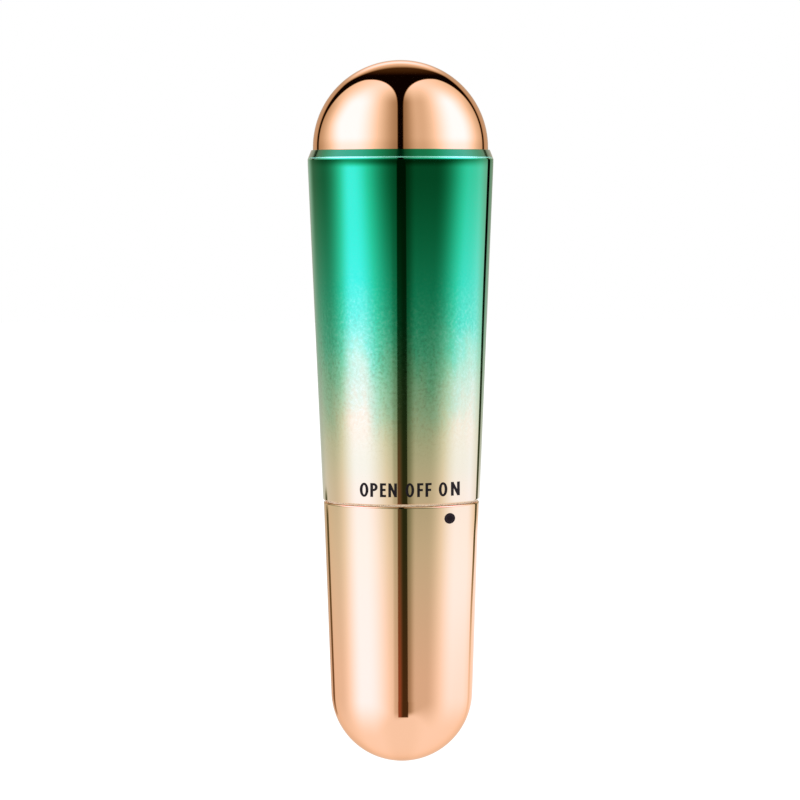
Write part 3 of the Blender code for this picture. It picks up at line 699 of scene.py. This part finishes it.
def printed(name, strokes, height, radius_at, material, body, thickness=0.02):
    """Ink pressed straight onto a round wall: (x, y) of a stroke goes to (x, -sqrt(r r - x x), height + y).

    r is the wall's radius at that height. Each stroke is a strip with a thin wall, its back just under the surface.
    """
    points, faces, count = [], [], 0
    for strip in strokes:
        x, z = strip[..., 0], height + strip[..., 1]
        layers = []
        for lift in (thickness, -thickness):
            r = radius_at(z)
            scale = 1 + lift / r
            layers.append(np.stack([x * scale, -np.sqrt(r * r - x * x) * scale, z], axis=-1))
        ring = np.stack([layers[0][:, 0], layers[0][:, 1], layers[1][:, 1], layers[1][:, 0]], axis=1)
        rows = len(ring)
        points.append(ring.reshape(-1, 3))
        faces.append(grid_faces(rows, 4, False, True) + count)
        caps = np.array([[0, 1, 2, 3], [rows * 4 - 1, rows * 4 - 2, rows * 4 - 3, rows * 4 - 4]])
        faces.append(caps + count)
        count += rows * 4
    obj = mesh_piece(name, np.concatenate(points), np.concatenate(faces), material, 40)
    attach(obj, body)
    return obj


def make_marks(ink):
    """The words at the three switch places, on the handle, and the dot on the base."""
    line = 45.56
    words = {
        "mark_open": letter_o(-6.86) + letter_p(-5.12) + letter_e(-3.52) + letter_n(-2.15),
        "mark_off": letter_o(0.69) + letter_f(2.60) + letter_f(3.97),
        "mark_on": letter_o(6.18) + letter_n(8.21, 1.47),
    }
    for name, strokes in words.items():
        printed(name, strokes, line, handle_radius, ink, "handle")
    t = np.linspace(0, math.tau, 41)
    rim = 0.89 * np.stack([np.cos(t), np.sin(t)], axis=-1)
    disc = np.stack([0 * rim, rim], axis=1) + np.array((8.0, 0.0))
    printed("mark_dot", [disc], 41.8, base_radius, ink, "base")


# Studio


def add_camera():
    """At the photo's eye level, a little above the middle of the handle, with the photo's slight roll."""
    camera = bpy.data.objects.new("camera", bpy.data.cameras.new("camera"))
    camera.data.lens = LENS
    camera.data.clip_start = 0.01
    camera.data.clip_end = 20
    bpy.context.scene.collection.objects.link(camera)
    camera.location = Vector((0, -EYE_DISTANCE, EYE_HEIGHT)) * MM
    aim = Vector((AIM_SIDE, 0, AIM_HEIGHT)) * MM
    turn = (aim - camera.location).to_track_quat("-Z", "Y").to_matrix()
    camera.rotation_euler = (turn @ Euler((0, 0, math.radians(ROLL))).to_matrix()).to_euler()
    bpy.context.scene.camera = camera


def add_floor():
    """A wide white floor, just under the lowest place that the pulled-off base comes to."""
    bpy.ops.mesh.primitive_plane_add(size=12, location=(0, 0, -(BASE_PULL + 0.3) * MM))
    floor = bpy.context.object
    floor.name = "floor"
    material = bpy.data.materials.new("white_floor")
    material.use_nodes = True
    n = Nodes(material.node_tree)
    tree = material.node_tree
    shader = tree.nodes["Principled BSDF"]
    shader.inputs["Base Color"].default_value = (0.9, 0.9, 0.9, 1)
    shader.inputs["Roughness"].default_value = 0.9
    shader.inputs["Specular IOR Level"].default_value = 0
    shader.inputs["Emission Color"].default_value = (1, 1, 1, 1)
    shader.inputs["Emission Strength"].default_value = 0.55
    floor.data.materials.append(material)
    floor.visible_glossy = False


def side_lights(side, contrast, beside_gap, on_base, low):
    """Brightness of the level part of the studio, by side: a tall soft light left and right, with a gap between.

    contrast, 0 to 1, is how far a height lies towards the lights' upper ends, which are harder. beside_gap is the
    distance from the gap's left edge. on_base and low, 0 to 1, are for the lights' lower ends.
    """
    inner = contrast * 0.045 - 0.015
    left = 0.80 + side.step(-0.84, -0.54) * 0.75 - (side + inner).step(-0.48, 0.06) * 0.95
    left = left + side.step(-0.93, -0.985) * (contrast * 0.45 - 0.17)
    left = left * (1.0 - beside_gap.step(-0.075, -0.035) * (1.0 - contrast) * 0.22)
    right = 0.66 + (side - contrast * 0.04).step(0.33, 0.70) * (0.78 - contrast * 0.07)
    right = right - side.step(0.84, 0.985) * (0.50 - contrast * 0.2 - on_base.max(low) * 0.3)
    right = right * (1.0 - side.step(0.35, 0.75) * low * 0.12)
    return left, right


def overhead_lights(side, rise, turn):
    """Brightness of the studio above eye level: each light ends in an arch, under a dark ceiling with a pale rim."""
    across = abs(side)
    radius = (side * side + rise * rise) ** 0.5
    left = 1.75 - turn.step(-0.52, 0.0) * 1.45
    right = 0.25 + turn.step(0.03, 0.20) * 0.45 + turn.step(0.24, 0.62) * 1.05
    lit = left + (right - left) * side.step(-0.005, 0.005)
    lit = lit + (1.225 - side * 0.11 - lit) * rise.step(0.48, 0.74)
    fade = radius.step(0.67 + side * 0.04 + rise.step(0.0, 0.3) * (0.04 - side * 0.025), 0.948 + side * 0.01)
    fade = fade * (0.70 - side * 0.04) * (1.0 - rise.step(0.42, 0.82) * 0.68)
    lit = lit * (1.0 - fade) * (1.0 - rise.step(0.12, 0.0) * 0.13)

    # Each light's outline: an arch on its inner side, a flatter brow and the room's edge on its outer side
    arch = ((0.335 - across) / 0.302).max(0.0) ** 2.0 + ((rise - 0.42) / (0.341 + side * 0.01)).max(0.0) ** 2.85
    beside = (across - 0.335).max(0.0)
    brow = (rise + beside * beside * (1.045 - side * 0.15)) / (0.774 + side * 0.01)
    edge = brow.max(0.0) ** 18.0 + (radius / (0.925 + side * 0.001)) ** 18.0
    inside = arch.step(1.05, 0.95) * edge.step(1.12, 0.88)
    ceiling = 0.001 + rise.step(0.80, 0.89) * 0.03

    # The pale rim round the ceiling: even at the sides, brighter and softer overhead
    top = (rise - side.max(0.0) * 0.16).step(0.70, 0.95)
    outer = radius.step(0.940 - top * 0.059, 0.956 - top * 0.024)
    rim = 0.50 + top * (0.22 + radius.step(0.930, 0.964) * 0.85 - radius.step(0.964, 0.986) * 0.85)
    return (lit * inside + ceiling * (1.0 - inside)) * (1.0 - outer) + rim * outer


def studio_seen_by_gloss(n):
    """What polished surfaces reflect: two tall soft lights with a dark gap between them, and a white sweep behind.

    The studio is laid out by the surface that would show each direction to an eye in front: side is the sine of
    that surface's turn to the side, rise and tilt are how far it faces up or down, line is the eye line's slope.
    """
    direction = n.out("ShaderNodeTexCoord", "Generated")
    split = n.add("ShaderNodeSeparateXYZ", inputs={"Vector": direction})
    x, y, height = (Value(n, split.outputs[axis]) for axis in "XYZ")
    half = n.out("ShaderNodeVectorMath", 0, {"operation": "SUBTRACT"}, {0: direction, 1: (0.0, 1.0, 0.0)})
    half = n.out("ShaderNodeVectorMath", 0, {"operation": "NORMALIZE"}, {0: half})
    split = n.add("ShaderNodeSeparateXYZ", inputs={"Vector": half})
    half_side, half_rise = Value(n, split.outputs["X"]), Value(n, split.outputs["Z"])

    across = x - half_side * 0.0236
    reach = (across * across + (y - 1.0) * (y - 1.0)) ** 0.5
    side = across / reach.max(0.0001)
    line = height + reach * math.sin(HANDLE_TAPER)
    contrast = ((line + 0.085) / 0.091).max(0.0).min(1.0) ** 1.8

    def facing(eye_line):
        up = height - eye_line
        length = (reach * reach + up * up) ** 0.5
        return up / length, length

    rise, length = facing(half_rise * 0.0238 + 0.015)
    dome_side = across / length
    dip, length = facing(half_rise * 0.0192 - 0.1335)
    tilt = -dip

    # The gap widens a little downwards, and stops where the floor begins.
    edge = line.min(0.02).max(-0.145)
    beside_gap = side - (edge * 0.077 - 0.042)
    beyond_gap = side - (edge * -0.21 + 0.0588)
    left, right = side_lights(side, contrast, beside_gap, line.step(-0.082, -0.088), line.step(-0.090, -0.130))
    soft = tilt.step(0.20, 0.26) * 0.12 + 0.001
    wall = left + (right - left) * (side - 0.01).step(soft * -1.0, soft)
    place = line.step(-0.02, -0.065) * 0.009 + 0.003
    place = place - line.step(-0.080, -0.087) * 0.009 - line.step(-0.088, -0.108) * 0.012
    stripe_right = (side - place).step(0.926, 0.934) * (side - place).step(0.960, 0.952)
    stripe_right = stripe_right * (0.92 - line.step(-0.085, -0.128) * 0.72)
    stripe_left = side.step(-0.932, -0.941) * side.step(-0.968, -0.959) * line.step(-0.0760, -0.0800)
    stripe_left = stripe_left * tilt.step(0.33, 0.26)
    wall = wall * (1.0 - stripe_right.max(stripe_left * 0.86))
    wall = (wall / 1.55) ** (1.0 + contrast * 2.2) * 1.55
    wall = wall * (1.0 - side.step(0.955, 0.966) * line.step(-0.085, -0.066) * (0.34 - contrast * 0.08))
    wall = wall * (1.0 - (0.56 - beyond_gap.step(0.005, 0.11) * 0.56) * (side - 0.01).step(soft * -1.0, soft))
    wall = wall * (1.0 - line.step(0.008, 0.060) * 0.68)

    gap = beside_gap.step(-0.007, 0.007) * beyond_gap.step(0.006, -0.006) * tilt.step(0.262, 0.250)
    near_edge = beside_gap.step(0.075, 0.025)
    dark = (0.034 + near_edge * (1.0 - contrast) * 0.048) * (1.0 - contrast * 0.72)

    # The floor takes over where the round end turns down.
    wide = abs(side)
    floor_light = 0.96 + wide.step(0.1, 0.4) * 0.07 - side.step(-0.6, -0.85) * 0.09
    floor_light = floor_light * (1.0 - length.step(0.9, 0.25) * 0.2)
    near = wide.step(0.45, 0.1)
    floor_share = tilt.step(near * 0.17, 0.60 - side.step(-0.1, 0.3) * 0.12 - near * 0.28)
    wall = wall + (floor_light - wall) * floor_share
    wall = wall + (dark - wall) * gap

    above = rise.step(-0.014, -0.004)
    level = wall + (overhead_lights(dome_side, rise, side) - wall) * above
    level = level.max(0.0)

    # Warmer in the dim parts low down and cooler in the bright ones: powers for red and blue, with green plain
    dim_red = 0.82 + line.step(-0.125, -0.05) * 0.33 * (1.0 - above)
    dim_red = dim_red - gap * near_edge * line.step(-0.056, -0.068) * 0.3
    bright_red = 0.65 + ((line + 0.072) / 0.036).max(0.0).min(1.0) * 1.35
    red = (level.min(1.0) ** dim_red) * (level.max(1.0) ** bright_red)
    blue = (level.min(1.0) ** 1.3) * (level.max(1.0) ** 1.8)
    return n.vector(red, level, blue)


def add_light():
    """White to the camera, the studio to polished surfaces, and plain soft light to the rest."""
    world = bpy.data.worlds.new("studio")
    bpy.context.scene.world = world
    world.use_nodes = True
    n = Nodes(world.node_tree)
    background = world.node_tree.nodes["Background"]
    rays = n.add("ShaderNodeLightPath")
    seen = Value(n, rays.outputs["Is Camera Ray"]).max(Value(n, rays.outputs["Is Transmission Ray"]))
    gloss = Value(n, rays.outputs["Is Glossy Ray"])
    studio = studio_seen_by_gloss(n)
    plain = seen + (1.0 - seen) * 0.62
    n.put(background.inputs["Color"], n.mix(gloss, n.vector(plain, plain, plain), studio))
    background.inputs["Strength"].default_value = 1.0

    lamp = bpy.data.lights.new("key", "AREA")
    lamp.energy = 7
    lamp.size = 0.7
    key = bpy.data.objects.new("key", lamp)
    key.location = (-0.55, -0.7, 0.75)
    key.rotation_euler = (Vector((0, 0, 0.06)) - Vector(key.location)).to_track_quat("-Z", "Y").to_euler()
    key.visible_glossy = False
    bpy.context.scene.collection.objects.link(key)


def finish_inner_parts():
    """Gives each part that keeps its own solid its material."""
    white = moulded("white_moulding", (0.90, 0.88, 0.83), (0.84, 0.82, 0.77))
    ivory = moulded("ivory_moulding", (0.86, 0.82, 0.72), (0.80, 0.75, 0.65))
    steel = metal("drawn_steel", (0.70, 0.70, 0.71), (0.52, 0.52, 0.54))
    zinc = metal("screw_zinc", (0.78, 0.78, 0.76), (0.60, 0.60, 0.60), 0.2)
    tungsten = metal("weight_alloy", (0.46, 0.45, 0.44), (0.34, 0.34, 0.34), 0.38, 6.0, 1.0)
    bronze = metal("bush_bronze", (0.66, 0.46, 0.24), (0.50, 0.33, 0.16), 0.3, 6.0, 1.0)
    nickel = metal("contact_nickel", (0.82, 0.80, 0.76), (0.68, 0.66, 0.62), 0.16)
    copper = metal("commutator_copper", (0.80, 0.38, 0.20), (0.66, 0.28, 0.13), 0.25)
    winding = winding_copper()
    ferrite = dull("ferrite", (0.060, 0.058, 0.056), (0.030, 0.030, 0.030), 5.0, 0.03)
    silicone = dull("silicone", (0.82, 0.80, 0.74), (0.76, 0.74, 0.68), 1.0, 0.01, 0.55)
    foam = dull("foam", (0.060, 0.060, 0.064), (0.015, 0.015, 0.016), 4.0, 0.15, 0.95)
    red = moulded("red_insulation", (0.62, 0.02, 0.02), (0.50, 0.015, 0.015), 0.35)
    black = moulded("black_insulation", (0.022, 0.022, 0.022), (0.012, 0.012, 0.012), 0.35)
    finishes = {
        white: ["chassis", "bayonet_socket", "motor_clamp"],
        liner_moulding(): ["base_liner"],
        ivory: ["motor_end_cap"],
        steel: ["motor_can", "motor_shaft", "rotor_core"],
        zinc: ["clamp_screw_1", "clamp_screw_2"],
        tungsten: ["eccentric_weight"],
        bronze: ["front_bush", "rear_bush"],
        nickel: ["motor_terminal_1", "motor_terminal_2", "motor_brush_1", "motor_brush_2",
                 "positive_contact", "switch_contact", "base_contact", "cell_spring"],
        copper: ["commutator"],
        winding: ["rotor_winding_1", "rotor_winding_2", "rotor_winding_3"],
        ferrite: ["motor_magnet_1", "motor_magnet_2"],
        silicone: ["head_gasket", "base_seal"],
        foam: ["cushion_ring"],
        red: ["red_lead"],
        black: ["black_lead"],
        cell_sleeve(): ["battery"],
    }
    for material, names in finishes.items():
        for name in names:
            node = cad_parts[name]
            node.data.materials.clear()
            node.data.materials.append(material)


make_handle(plated_handle())
make_dome(plated_dome())
make_base(plated_base())
make_marks(printing_ink())
finish_inner_parts()
add_camera()
add_floor()
add_light()

bpy.context.scene.view_settings.view_transform = "Standard"
